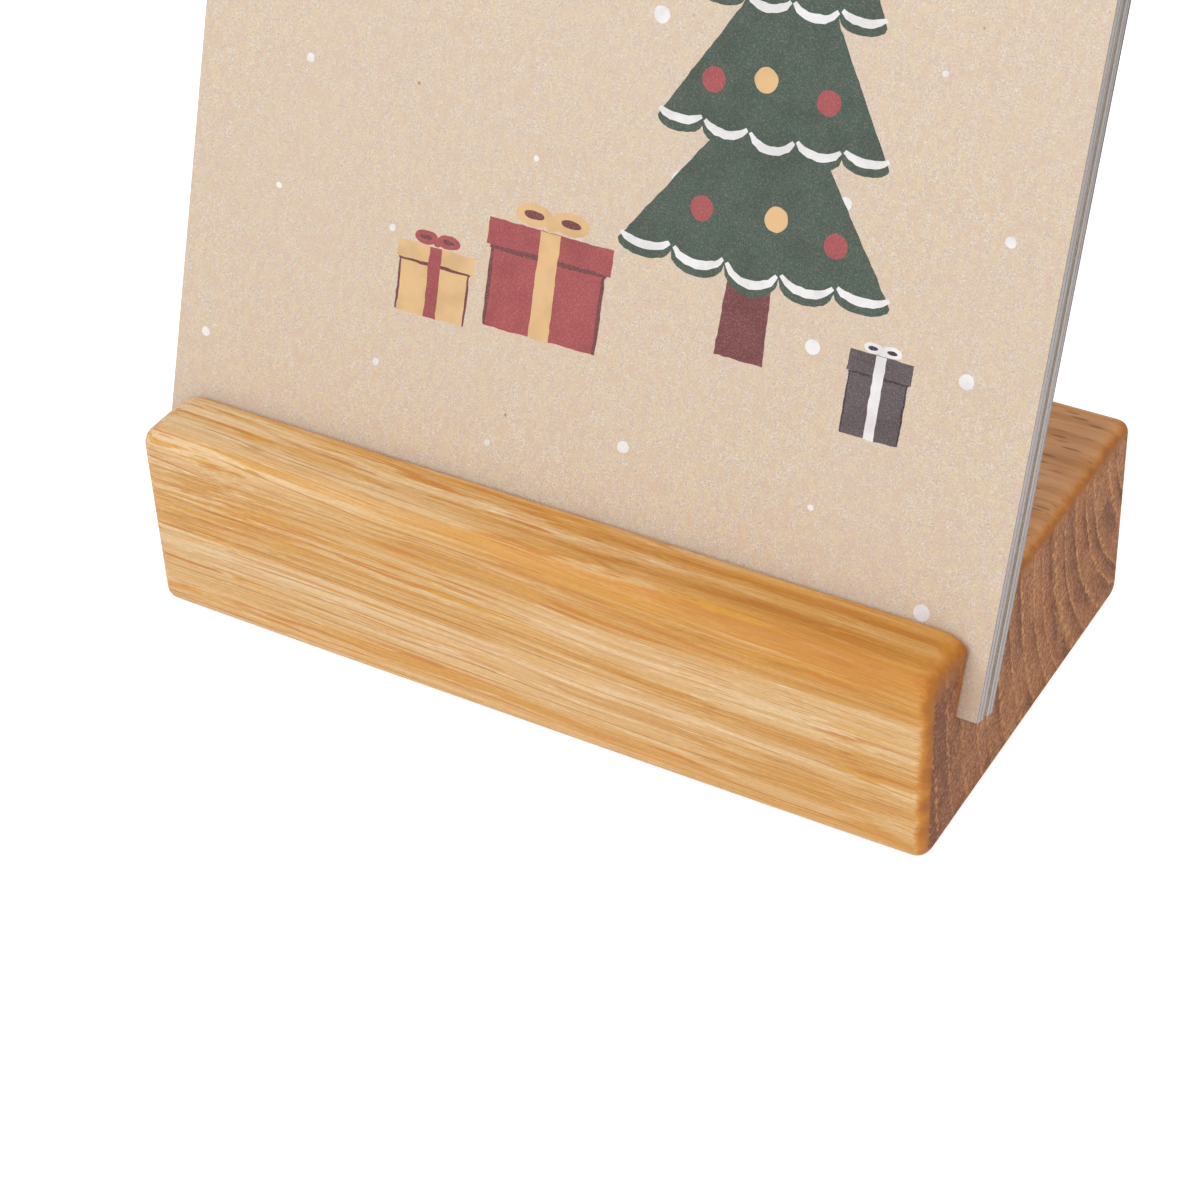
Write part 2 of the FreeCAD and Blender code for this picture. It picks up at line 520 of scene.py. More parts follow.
def long_face_colour(oak, fibre, ring, pore, old_wood):
    """Honey of the long faces, the tone that it follows and the hair lines in it."""
    early = oak.ramp(ring, [(0.0, 0.5), (0.1, 1.0), (0.45, 0.35), (0.85, 0.0), (1.0, 0.5)])
    bands = oak.patches(fibre, BAND_MM, 0.38, 0.64, detail=2.0)
    streaks = oak.patches(fibre, STREAK_MM, 0.38, 0.62, detail=3.0, roughness=0.6)
    hairs = oak.noise(fibre, HAIR_MM, detail=2.0)
    along, _, upwards = oak.split(oak.place_mm)
    stain = oak.math("ADD", oak.rise(along, *DEEPER_RIGHT_MM), oak.rise(along, *PALER_LEFT_MM, 0.0, -0.35))
    stain = oak.math("MULTIPLY", stain, oak.rise(upwards, *DEEPER_TOP_MM))
    tone = oak.sum_of((early, 0.18), (bands, 0.28), (streaks, 0.17), (hairs, 0.30), (stain, 0.44))
    honey = oak.ramp(tone, [(0.18, HONEY_PALE), (0.40, HONEY_LIGHT), (0.62, HONEY_WARM), (0.90, HONEY_DEEP)])

    cluster = oak.patches(fibre, AMBER_CLUSTER_MM, 0.45, 0.57)
    amber_streak = oak.patches(fibre, AMBER_STREAK_MM, 0.47, 0.57, detail=3.0, roughness=0.6)
    amber_streak = oak.math("MULTIPLY", amber_streak, cluster)
    yellow_part = oak.patches(fibre, YELLOW_PART_MM, 0.44, 0.58)
    amber_streak_colour = oak.mix(yellow_part, AMBER_STREAK, YELLOW_STREAK)
    honey = oak.mix(oak.math("MULTIPLY", amber_streak, 0.84), honey, amber_streak_colour)
    thread = oak.patches(fibre, THREAD_MM, 0.60, 0.67)
    honey = oak.mix(oak.math("MULTIPLY", thread, 0.50), honey, DARK_THREAD)
    _, across_fibre, up_fibre = oak.split(fibre)
    bend = oak.noise(fibre, VEIN_BEND_MM, detail=1.0)
    sheets = oak.sum_of((across_fibre, VEINS_ACROSS_PER_MM), (up_fibre, VEINS_UP_PER_MM), (bend, VEIN_BEND))
    from_sheet = oak.math("ABSOLUTE", oak.math("SUBTRACT", oak.math("FRACT", sheets), 0.5))
    firm = oak.patches(fibre, VEIN_PART_MM, 0.46, 0.60)
    vein = oak.math("MULTIPLY", oak.rise(from_sheet, 0.09, 0.03), firm)
    honey = oak.mix(oak.math("MULTIPLY", vein, 0.58), honey, DARK_VEIN)
    fleck = oak.patches(fibre, FLECK_MM, 0.64, 0.73)
    fleck = oak.math("MULTIPLY", fleck, oak.rise(tone, 0.56, 0.36, 0.12, 0.62))
    honey = oak.mix(fleck, honey, PALE_FLECK)
    grain = oak.noise(oak.place_mm, FINE_GRAIN_MM, detail=2.0)
    honey = oak.mix(1.0, honey, oak.ramp(grain, [(0.25, 0.88), (0.75, 1.0)]), "MULTIPLY")
    patchy = oak.patches(fibre, OLDER_PATCH_MM, 0.36, 0.64, detail=3.0)
    older_shade = oak.mix(patchy, OLDER_LIGHT, OLDER_DARK)
    older = oak.mix(0.56, oak.mix(1.0, honey, OLDER_TINT, "MULTIPLY"), older_shade)
    honey = oak.mix(old_wood, honey, older)
    return oak.mix(oak.math("MULTIPLY", pore, 0.62), honey, LONG_PORE), tone, hairs


def end_colour(oak, fibre, tree, ring):
    """Brown of the ends, which drink the oil: jagged ring lines, dark bands behind them, rays and pores."""
    _, radius, _ = oak.split(tree)
    cloudy = oak.noise(tree, END_CLOUD_MM, detail=1.0)
    grit = oak.noise(fibre, END_GRIT_MM, detail=2.0, roughness=0.7)
    ray = oak.patches(tree, RAY_MM, 0.46, 0.66, detail=2.0)
    dark_band = oak.ramp(ring, [(0.0, 0.25), (0.10, 0.1), (0.30, 1.0), (0.55, 0.6), (1.0, 0.25)])
    dark_share = oak.rise(cloudy, 0.38, 0.62, 0.16, 0.78)
    fine_shade = oak.rise(grit, 0.25, 0.75, 0.38, 0.70)
    towards_front = oak.rise(radius, *DARKER_FRONT_MM)
    shade = oak.sum_of((dark_band, dark_share), (fine_shade, 0.54), (ray, -0.20), (towards_front, 0.36))
    brown = oak.ramp(shade, [(0.0, END_PALE), (0.22, END_LIGHT), (0.48, END_DARK), (0.90, END_DEEP)])
    line = oak.math("MULTIPLY", oak.rise(ring, 0.0, 0.05), oak.rise(ring, 0.18, 0.10))
    broken = oak.patches(fibre, BROKEN_RING_MM, 0.42, 0.56, detail=2.0)
    broken = oak.math("MULTIPLY", broken, oak.rise(radius, *BRIGHT_RINGS_MM, 0.58, 0.82))
    brown = oak.mix(oak.math("MULTIPLY", line, broken), brown, END_RING)
    clump = oak.noise(fibre, PORE_CLUMP_MM, detail=2.0)
    brown = oak.mix(oak.rise(clump, 0.50, 0.70, 0.0, 0.44), brown, END_CLUMP)
    brown = oak.mix(oak.rise(grit, 0.50, 0.66, 0.0, 0.58), brown, END_PORE)
    return oak.mix(oak.rise(grit, 0.46, 0.30, 0.0, 0.42), brown, END_SPARK)


def groove_place(oak):
    """How far each point is below the block's top, and how far in front of the groove's front wall."""
    low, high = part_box("oak_block")
    _, across, upwards = oak.split(oak.place_mm)
    down = oak.math("SUBTRACT", high.z / MM, upwards)
    upright = oak.math("MULTIPLY_ADD", down, math.tan(groove_lean()), across)
    before_wall = oak.math("SUBTRACT", (low.y + LIP_THICKNESS) / MM, upright)
    return down, before_wall


def groove_oil_and_shade(oak, fibre):
    """How far the darker oil in the groove, with painted shade over its mouth, covers each point."""
    _, before_wall = groove_place(oak)
    half_width_mm = GROOVE_WIDTH / math.cos(groove_lean()) / 2 / MM
    from_middle = oak.math("ABSOLUTE", oak.math("ADD", before_wall, half_width_mm))
    stray = oak.math("SUBTRACT", oak.noise(fibre, GROOVE_DARK_MM, detail=2.0), 0.5)
    strayed = oak.math("MULTIPLY_ADD", stray, GROOVE_DARK_STRAY_MM, from_middle)
    return oak.rise(strayed, *GROOVE_DARK_ENDS_MM, 0.0, GROOVE_DARK_SHARE)


def edge_oil(oak, fibre, tone):
    """Amber of the rounded ends, how far it covers each point, and how far the brown of the end does."""
    along, _, _ = oak.split(oak.place_mm)
    facing, _, _ = oak.split(oak.coordinates.outputs["Normal"])
    facing = oak.math("ABSOLUTE", facing)
    stray = oak.math("SUBTRACT", oak.noise(fibre, EDGE_OIL_MM, detail=3.0), 0.5)
    amber_shade = oak.math("MULTIPLY_ADD", stray, 1.25, facing)
    amber_shade = oak.math("MULTIPLY_ADD", oak.math("SUBTRACT", tone, 0.5), 0.30, amber_shade)
    stops = [(0.15, AMBER_PALE), (0.50, AMBER_LIGHT), (0.85, AMBER_DARK), (1.00, AMBER_DEEP)]
    amber = oak.ramp(amber_shade, stops)
    paler_left = oak.rise(along, *AMBER_SPREAD_MM, -0.42, 0.0)
    turned = oak.math("ADD", oak.math("MULTIPLY_ADD", stray, 0.5, facing), paler_left)
    covered = oak.rise(turned, 0.10, 0.62)

    # The lip's end is soaked with oil from its top down, and all the way down beside the groove
    down, before_wall = groove_place(oak)
    is_lip = oak.math("GREATER_THAN", before_wall, LIP_FROM_WALL_MM)
    soaked = oak.math("MULTIPLY_ADD", stray, SOAKED_STRAY_MM, SOAKED_DEPTH_MM)
    soaked = oak.math("MULTIPLY_ADD", is_lip, SOAKED_LIP_DEPTH_MM, soaked)
    from_top = oak.rise(oak.math("SUBTRACT", down, soaked), *SOAKED_ENDS_MM)
    beside = oak.rise(oak.math("MULTIPLY_ADD", stray, BESIDE_STRAY_MM, before_wall), *BESIDE_ENDS_MM)
    beside = oak.math("MULTIPLY", oak.math("MULTIPLY", beside, is_lip), oak.rise(down, *BESIDE_DEPTH_MM))
    still_amber = oak.math("MULTIPLY", oak.math("MAXIMUM", from_top, beside), SOAKED_SHARE)
    end_share = oak.math("MULTIPLY", oak.rise(facing, 0.90, 0.985), oak.math("SUBTRACT", 1.0, still_amber))
    return amber, covered, end_share


def oiled_oak():
    """Oak with growth rings, pores and rays in the solid, so that each face shows its own cut of them."""
    oak = Finish("oiled_oak")
    fibre, tree = place_in_tree(oak)
    ring = ring_share(oak, fibre, tree)
    _, radius, _ = oak.split(tree)
    old_wood = oak.rise(radius, *OLD_WOOD_MM)
    uneven_pore = oak.math("MULTIPLY", oak.noise(fibre, PORE_BEND_MM, detail=1.0), 0.40)
    pore = oak.rise(oak.math("ADD", oak.cells(fibre, LONG_PORE_MM), uneven_pore), 0.52, 0.36)
    _, _, up_block = oak.split(oak.place_mm)
    on_top = oak.math("MULTIPLY", old_wood, oak.rise(up_block, *TOP_PORES_MM, 0.30, 1.0))
    pore = oak.math("MULTIPLY", pore, oak.rise(on_top, 0.0, 1.0, 0.03, 1.0))
    honey, tone, hairs = long_face_colour(oak, fibre, ring, pore, old_wood)
    # Darker oil in the groove, with painted shade over its mouth where the wood meets the cards
    honey = oak.mix(groove_oil_and_shade(oak, fibre), honey, GROOVE_OIL_AND_SHADE)
    amber, covered, end_share = edge_oil(oak, fibre, tone)
    worn = oak.math("MULTIPLY", oak.attribute("worn"), oak.rise(tone, 0.3, 0.7, 0.10, 0.28))
    covered = oak.math("MAXIMUM", worn, covered)
    colour = oak.mix(end_share, oak.mix(covered, honey, amber), end_colour(oak, fibre, tree, ring))

    relief = oak.sum_of((pore, PORE_RELIEF_MM), (tone, GRAIN_RELIEF_MM), (hairs, GRAIN_RELIEF_MM))
    roughness = oak.math("MULTIPLY_ADD", end_share, 0.28, oak.rise(tone, 0.2, 0.9, 0.46, 0.56))
    return oak.surface(colour, roughness, relief, specular=0.3)


def printed_kraft():
    """Face of a card: kraft paper with inks laid on it where the ink attribute has them."""
    paper = Finish("printed_kraft")
    fine = paper.noise(paper.place_mm, KRAFT_GRIT_MM, detail=3.0, roughness=0.7)
    yellow = paper.noise(paper.place_mm, KRAFT_YELLOW_MM, detail=3.0, roughness=0.65)
    beside = paper.vector("ADD", paper.place_mm, PINK_SHIFT_MM)
    pink = paper.noise(beside, KRAFT_PINK_MM, detail=3.0, roughness=0.65)
    cloud = paper.noise(paper.place_mm, INK_CLOUD_MM, detail=3.0)
    broad = paper.noise(paper.place_mm, KRAFT_CLOUD_MM, detail=1.0)
    threads = paper.noise(paper.place_mm, KRAFT_THREAD_MM, detail=1.0)
    motes = paper.cells(paper.place_mm, KRAFT_MOTE_MM)
    _, _, upwards = paper.split(paper.place_mm)

    kraft = paper.mix(paper.rise(fine, 0.26, 0.74), KRAFT_DARK, KRAFT_LIGHT)
    kraft = paper.mix(paper.rise(yellow, 0.42, 0.62, 0.0, 0.52), kraft, KRAFT_YELLOW)
    kraft = paper.mix(paper.rise(pink, 0.44, 0.62, 0.0, 0.46), kraft, KRAFT_PINK)
    kraft = paper.mix(paper.rise(broad, 0.35, 0.70, 0.0, 0.20), kraft, KRAFT_CLOUD)
    # Paler towards the top
    kraft = paper.mix(paper.rise(upwards, *KRAFT_PALER_MM, 0.0, 0.22), kraft, KRAFT_PALER_UP)
    kraft = paper.mix(paper.rise(threads, 0.62, 0.76, 0.0, 0.20), kraft, KRAFT_THREAD)
    kraft = paper.mix(paper.rise(motes, 0.040, 0.018, 0.0, 0.7), kraft, KRAFT_MOTE)

    ink = paper.attribute("ink", "Color")
    laid = paper.attribute("ink", "Alpha")
    ink = paper.mix(paper.rise(fine, 0.42, 0.80, 0.0, 0.30), ink, INK_RUBBED)
    clouded = paper.mix(1.0, ink, INK_CLOUD, "MULTIPLY")
    ink = paper.mix(paper.rise(cloud, 0.40, 0.70, 0.0, 0.30), ink, clouded)
    colour = paper.mix(laid, kraft, ink)

    relief = paper.sum_of((fine, GRIT_RELIEF_MM), (cloud, CLOUD_RELIEF_MM))
    roughness = paper.rise(fine, 0.2, 0.8, 0.72, 0.86)
    return paper.surface(colour, roughness, relief, specular=0.25)


def card_board():
    """Cut edges of a card, pale grey board in layers, and its plain back."""
    board = Finish("card_board")
    along, _, upwards = board.split(board.place_mm)
    through = board.attribute("through")
    across_layers = board.math("MULTIPLY", through, BOARD_LAYERS)
    layers = board.noise(board.joined(along, across_layers, upwards), EDGE_LAYER_MM)
    fine = board.noise(board.place_mm, BOARD_GRIT_MM, detail=2.0)
    edge = board.mix(board.rise(layers, 0.3, 0.7), EDGE_DARK, EDGE_LIGHT)
    edge = board.mix(board.rise(fine, 0.4, 0.75, 0.0, 0.4), edge, EDGE_SPECK)
    # Dark line at the printed side of the edge: the print's edge, with painted shade between the cards
    edge = board.mix(board.rise(through, 0.14, 0.02, 0.0, 0.75), edge, EDGE_PRINT_LINE_AND_SHADE)
    # Painted shade: the edges darker towards the top
    edge = board.mix(board.rise(upwards, *EDGE_SHADE_MM, 0.0, 0.16), edge, EDGE_SHADE_HIGH_UP)
    # Painted shade on the rear layer of the board's edge, darker towards the top
    painted_rear_shade = board.math("MULTIPLY", board.attribute("painted_rear_shade"), board.rise(through, 0.36, 0.60))
    painted_rear_shade = board.math("MULTIPLY", painted_rear_shade, board.rise(upwards, *REAR_SHADE_MM, 0.15, 1.0))
    edge = board.mix(painted_rear_shade, edge, EDGE_REAR_SHADE)

    cloud = board.noise(board.place_mm, BACK_CLOUD_MM, detail=3.0)
    fibres = board.noise(board.place_mm, BACK_FIBRE_MM, detail=2.0)
    back = board.mix(board.rise(fine, 0.3, 0.7), BACK_DARK, BACK_LIGHT)
    back = board.mix(board.rise(cloud, 0.38, 0.66, 0.0, 0.35), back, BACK_CLOUD)
    back = board.mix(board.rise(fibres, 0.58, 0.72, 0.0, 0.5), back, BACK_FIBRE)
    colour = board.mix(board.rise(through, 0.94, 0.99), edge, back)
    relief = board.sum_of((fine, GRIT_RELIEF_MM), (cloud, CLOUD_RELIEF_MM))
    return board.surface(colour, board.rise(fine, 0.2, 0.8, 0.7, 0.85), relief, specular=0.3)


def seen_rays(tree):
    """1 on rays that show the background, straight, reflected or through glass, and 0 on the rest."""
    rays = tree.nodes.new("ShaderNodeLightPath")
    seen = rays.outputs["Is Camera Ray"]
    for kind in ("Is Glossy Ray", "Is Transmission Ray"):
        either = tree.nodes.new("ShaderNodeMath")
        either.operation = "MAXIMUM"
        tree.links.new(seen, either.inputs[0])
        tree.links.new(rays.outputs[kind], either.inputs[1])
        seen = either.outputs[0]
    return seen


def studio_white():
    """Floor that is white to the camera and in reflections, and still takes the object's shadow."""
    material = bpy.data.materials.new("studio_white")
    material.use_nodes = True
    tree = material.node_tree
    shader = tree.nodes["Principled BSDF"]
    shader.inputs["Base Color"].default_value = FLOOR_WHITE + (1.0,)
    shader.inputs["Roughness"].default_value = 1.0
    shader.inputs["Specular IOR Level"].default_value = 0.0
    shader.inputs["Emission Color"].default_value = (1.0, 1.0, 1.0, 1.0)
    glow = tree.nodes.new("ShaderNodeMath")
    glow.operation = "MULTIPLY"
    glow.inputs[1].default_value = FLOOR_GLOW
    tree.links.new(seen_rays(tree), glow.inputs[0])
    tree.links.new(glow.outputs[0], shader.inputs["Emission Strength"])
    return material


# Camera and studio


def photo_camera():
    data = bpy.data.cameras.new("photo_camera")
    data.sensor_width = CAMERA_SENSOR_MM
    data.lens = CAMERA_SENSOR_MM * PHOTO_FOCAL_PX / PHOTO_WIDTH_PX
    data.clip_start = CAMERA_NEAR
    data.clip_end = CAMERA_FAR
    camera = new_object("photo_camera", data)
    turned = Matrix.Rotation(math.radians(CAMERA_AZIMUTH_DEGREES), 4, "Z")
    tipped = Matrix.Rotation(math.radians(90 - CAMERA_ELEVATION_DEGREES), 4, "X")
    rolled = Matrix.Rotation(math.radians(CAMERA_ROLL_DEGREES), 4, "Z")
    camera.matrix_world = Matrix.Translation(CAMERA_PLACE) @ turned @ tipped @ rolled
    bpy.context.scene.camera = camera


def white_floor():
    half = FLOOR_WIDTH / 2
    mesh = bpy.data.meshes.new("studio_floor")
    corners = [(-half, -half, 0), (half, -half, 0), (half, half, 0), (-half, half, 0)]
    mesh.from_pydata(corners, [], [(0, 1, 2, 3)])
    mesh.materials.append(studio_white())
    floor = new_object("studio_floor", mesh)


def soft_lamps():
    for name, lamp in LAMPS.items():
        data = bpy.data.lights.new(name, "AREA")
        data.shape = "SQUARE"
        data.size = lamp["width"]
        data.energy = lamp["power"]
        turned = Euler((math.radians(90 - lamp["elevation"]), 0, math.radians(lamp["azimuth"])))
        back = turned.to_matrix() @ Vector((0, 0, lamp["distance"]))
        light = new_object(name, data)
        light.matrix_world = Matrix.Translation(LAMP_AIM + back) @ turned.to_matrix().to_4x4()


def pale_dome():
    """Dome of light all round, which the camera and reflections see as plain white."""
    world = bpy.data.worlds.new("dome")
    world.use_nodes = True
    tree = world.node_tree
    dome = tree.nodes["Background"]
    dome.inputs["Color"].default_value = DOME_WHITE + (1.0,)
    dome.inputs["Strength"].default_value = DOME_LIGHT
    backdrop = tree.nodes.new("ShaderNodeBackground")
    backdrop.inputs["Color"].default_value = (1.0, 1.0, 1.0, 1.0)
    backdrop.inputs["Strength"].default_value = 1.0
    choice = tree.nodes.new("ShaderNodeMixShader")
    tree.links.new(seen_rays(tree), choice.inputs[0])
    tree.links.new(dome.outputs[0], choice.inputs[1])
    tree.links.new(backdrop.outputs[0], choice.inputs[2])
    tree.links.new(choice.outputs[0], tree.nodes["World Output"].inputs["Surface"])
    bpy.context.scene.world = world


# Oak block


def crossing(first, second):
    """Where two lines meet, each given by a point and a direction in the section's plane."""
    (point, way), (other, other_way) = first, second
    gap = other - point
    share = (gap.x * other_way.y - gap.y * other_way.x) / (way.x * other_way.y - way.y * other_way.x)
    return point + way * share


def rounded_corner(corner, before, after, radius):
    """Points of the arc that rounds a corner, from the line that comes in to the line that goes out."""
    backwards, onwards = -before, after
    half_angle = math.acos(max(-1, min(1, backwards.dot(onwards)))) / 2
    reach = radius / math.tan(half_angle)
    start, finish = corner + backwards * reach, corner + onwards * reach
    centre = corner + (backwards + onwards).normalized() * radius / math.sin(half_angle)
    from_centre, to_centre = start - centre, finish - centre
    sweep = math.atan2(
        from_centre.x * to_centre.y - from_centre.y * to_centre.x,
        from_centre.dot(to_centre),
    )
    points = []
    for step in range(ARC_STEPS + 1):
        turned = Matrix.Rotation(sweep * step / ARC_STEPS, 2)
        points.append(centre + turned @ from_centre)
    return points


def end_inset(from_end, reach, drop):
    """How far a face has curved inwards, along an ellipse's quarter, at from_end before the block's end."""
    into = max(0.0, 1 - from_end / reach)
    return drop * (1 - math.sqrt(max(0.0, 1 - into * into)))


class BlockShape:
    """The block's section, which is the same all along it but for its rounded ends."""

    def __init__(self):
        lean = groove_lean()
        low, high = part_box("oak_block")
        rear = high.y - REAR_SANDED_OFF
        self.half_length = high.x
        up = Vector((math.sin(lean), math.cos(lean)))
        through = Vector((math.cos(lean), -math.sin(lean)))
        front_mouth = Vector((low.y + LIP_THICKNESS, high.z))
        front_floor = front_mouth - up * GROOVE_DEPTH
        rear_floor = front_floor + through * GROOVE_WIDTH
        rear_mouth = rear_floor + up * ((high.z - rear_floor.y) / up.y)
        lip_end = (LIP_END_REACH, LIP_END_DROP)
        rear_top_end = (REAR_TOP_END_REACH, REAR_TOP_END_DROP)
        wall_end = (WALL_END_ROUND, WALL_END_ROUND)
        # Each corner, its rounding half-way and near the ends, and how the next face ends: reach and drop
        self.corners = [
            (Vector((low.y, low.z)), FOOT_ROUND, FOOT_ROUND, (FOOT_END_ROUND, FOOT_END_ROUND)),
            (Vector((rear, low.z)), FOOT_ROUND, FOOT_ROUND, (REAR_ROUND, REAR_ROUND)),
            (Vector((rear, high.z)), REAR_ROUND, REAR_ROUND, rear_top_end),
            (rear_mouth, MOUTH_ROUND, MOUTH_ROUND_AT_ENDS, wall_end),
            (rear_floor, FLOOR_CORNER_ROUND, FLOOR_CORNER_ROUND, (FLOOR_END_ROUND, FLOOR_END_ROUND)),
            (front_floor, FLOOR_CORNER_ROUND, FLOOR_CORNER_ROUND, wall_end),
            (front_mouth, MOUTH_ROUND, MOUTH_ROUND_AT_ENDS, lip_end),
            (Vector((low.y, high.z)), TOP_FRONT_ROUND, TOP_FRONT_ROUND, (FRONT_END_ROUND, FRONT_END_ROUND)),
        ]
        self.steps = [
            max(1, round((after[0] - before[0]).length / SURFACE_STEP))
            for before, after in zip(self.corners, self.corners[1:] + self.corners[:1])
        ]

    def section(self, x):
        """Points round the section at x, and how worn the wood is at each."""
        from_end = max(0.0, self.half_length - abs(x))
        lift = FOOT_LIFT_AT_ENDS * abs(x / self.half_length) ** FOOT_LIFT_POWER
        near_end = smooth_share(from_end, LIP_END_REACH, 0)
        count = len(self.corners)
        lines = []
        for place, (corner, _, _, end) in enumerate(self.corners):
            way = (self.corners[(place + 1) % count][0] - corner).normalized()
            inwards = Vector((-way.y, way.x))
            inset = end_inset(from_end, *end) + (lift if place == 0 else 0)
            lines.append((corner + inwards * inset, way))
        arcs = []
        for place, (corner, middle_round, end_round, end) in enumerate(self.corners):
            before, after = lines[place - 1], lines[place]
            full = middle_round + (end_round - middle_round) * near_end
            radius = max(full - END_ROUND_SHARE * end_inset(from_end, *end), FLOOR_CORNER_ROUND)
            arcs.append(rounded_corner(crossing(before, after), before[1], after[1], radius))
        points, worn = [], []
        end_wear = smooth_share(from_end, FRONT_END_ROUND + WORN_REACH, FRONT_END_ROUND * END_WEAR_SHARE)
        for place, arc in enumerate(arcs):
            corner_wear = 0.0 if place in FLOOR_CORNERS else 1.0
            for point in arc:
                points.append(point)
                worn.append(max(end_wear, corner_wear))
            gap = arcs[(place + 1) % count][0] - arc[-1]
            for step in range(1, self.steps[place]):
                share = step / self.steps[place]
                from_arc = min(share, 1 - share) * gap.length
                wear = 0.0 if place in GROOVE_FACES else smooth_share(from_arc, WORN_REACH, 0)
                points.append(arc[-1] + gap * share)
                worn.append(max(end_wear, wear))
        return points, worn

    def stations(self):
        """Places along the block at which its section is taken, closer together over the rounded ends."""
        straight = self.half_length - LIP_END_REACH
        count = round(2 * straight / SURFACE_STEP)
        middle = [-straight + 2 * straight * step / count for step in range(count + 1)]
        turn = []
        for step in range(1, END_STEPS + 1):
            angle = math.pi / 2 * step / END_STEPS
            turn.append(straight + LIP_END_REACH * math.sin(angle))
        return [-x for x in reversed(turn)] + middle + turn


def oak_block():
    """Block of oak: its section carried along it, with closed ends and faces that are sanded by hand."""
    shape = BlockShape()
    bm = bmesh.new()
    worn_layer = bm.verts.layers.float.new("worn")
    rings = []
    for x in shape.stations():
        points, worn = shape.section(x)
        ring = []
        for point, wear in zip(points, worn):
            vertex = bm.verts.new((x, point.x, point.y))
            vertex[worn_layer] = wear
            ring.append(vertex)
        rings.append(ring)
    join_rings(bm, rings)
    for ring in (rings[0], rings[-1]):
        cap = bm.faces.new(ring)
        bmesh.ops.inset_individual(bm, faces=[cap], thickness=CAP_BORDER, use_even_offset=True)
        bmesh.ops.triangulate(bm, faces=[cap])
    bmesh.ops.recalc_face_normals(bm, faces=bm.faces)
    bm.normal_update()
    for vertex in bm.verts:
        from_end = shape.half_length - abs(vertex.co.x)
        sanded = 0.5 + 0.5 * noise.noise(vertex.co / SANDING_WAVE)
        share = smooth_share(from_end, 0, LIP_END_REACH) * sanded
        if vertex.co.z > FOOT_ROUND:
            vertex.co -= vertex.normal * SANDING_DEPTH * share
    mesh = bpy.data.meshes.new("oak_block_wood")
    bm.to_mesh(mesh)
    bm.free()
    mesh.shade_smooth()
    mesh.set_sharp_from_angle(angle=math.radians(SHARP_EDGE_DEGREES))
    mesh.materials.append(oiled_oak())
    return new_piece("oak_block_wood", mesh, "block", ["oak_block"])


# Printed design: each shape is its ink and its outline, in millimetres from the middle of the card's foot


def arc_line(centre, radii, start_degrees, finish_degrees, steps):
    """Points along an ellipse's arc."""
    points = []
    for step in range(steps + 1):
        angle = math.radians(start_degrees + (finish_degrees - start_degrees) * step / steps)
        points.append((centre[0] + radii[0] * math.cos(angle), centre[1] + radii[1] * math.sin(angle)))
    return points


def oval(ink, centre, radii, steps=DOT_STEPS):
    return (ink, arc_line(centre, radii, *OVAL_DEGREES, steps))


def dot(ink, centre, radius):
    return oval(ink, centre, (radius, radius))


def stroke(ink, points, width):
    """A brush line through points, thin at both ends."""
    left, right = [], []
    for place, point in enumerate(points):
        before = points[max(place - 1, 0)]
        after = points[min(place + 1, len(points) - 1)]
        way = Vector((after[0] - before[0], after[1] - before[1])).normalized()
        swell = math.sin(math.pi * (place + 0.5) / len(points)) ** STROKE_TAPER_POWER
        half = width / 2 * max(swell, STROKE_THINNEST_SHARE)
        left.append((point[0] - way.y * half, point[1] + way.x * half))
        right.append((point[0] + way.y * half, point[1] - way.x * half))
    return (ink, left + right[::-1])


def star(ink, centre, radius, points=5):
    """Plump star that stands on two of its points."""
    outline = []
    for step in range(2 * points):
        reach = radius if step % 2 == 0 else radius * STAR_NOTCH_SHARE
        angle = math.pi / 2 + math.pi * step / points
        outline.append((centre[0] + reach * math.cos(angle), centre[1] + reach * math.sin(angle)))
    return (ink, outline)


def fir_tree(middle, foot, width, height, tiers):
    """Fir in tiers, the upper ones smaller and laid over the lower, each with a scalloped and snowy hem.

    Its parts are sized as shares of its width and height, and those of a tier as shares of the tier's.
    """
    shapes = []
    trunk_height = height * 0.10
    trunk = width * 0.09
    shapes.append(
        (
            PLUM_INK,
            [
                (middle - trunk, foot),
                (middle + trunk, foot),
                (middle + trunk * 0.8, foot + trunk_height * 1.6),
                (middle - trunk * 0.8, foot + trunk_height * 1.6),
            ],
        )
    )
    crown = height - trunk_height
    for tier in range(tiers):
        lower = foot + trunk_height + crown * tier * 0.80 / tiers
        upper = min(lower + crown * 1.55 / tiers, foot + height)
        half = width / 2 * (1 - tier / tiers) ** 0.8
        scallops = 5 - tier // 2
        hem = []
        for scallop in range(scallops):
            left = middle - half + 2 * half * scallop / scallops
            step = 2 * half / scallops
            sag = 1 - abs((scallop + 0.5) / scallops - 0.5) * 1.2
            scallop_radii = (step / 2, step * 0.42 * sag)
            hem += arc_line((left + step / 2, lower), scallop_radii, 180, 360, SCALLOP_STEPS)[:-1]
        hem.append((middle + half, lower))
        bend, bend_height = half * 0.42, lower + (upper - lower) * 0.48
        sides = [(middle + bend, bend_height), (middle, upper), (middle - bend, bend_height)]
        shapes.append((GREEN_INK, hem + sides))
        for scallop in range(scallops):
            first = SCALLOP_STEPS * scallop
            fallen = [(x, y + height * 0.014) for x, y in hem[first + 1 : first + SCALLOP_STEPS]]
            shapes.append(stroke(WHITE_INK, fallen, height * 0.010))
        if tier == tiers - 1:
            continue
        for share, ink in ((-0.42, RED_INK), (0.12, OCHRE_INK), (0.56, RED_INK)):
            sway = share if tier % 2 == 0 else -share
            centre = (middle + sway * half, lower + (upper - lower) * (0.24 - 0.10 * abs(share)))
            shapes.append(dot(ink, centre, width * 0.042))
    shapes.append(star(OCHRE_INK, (middle, foot + height), width * 0.13))
    return shapes


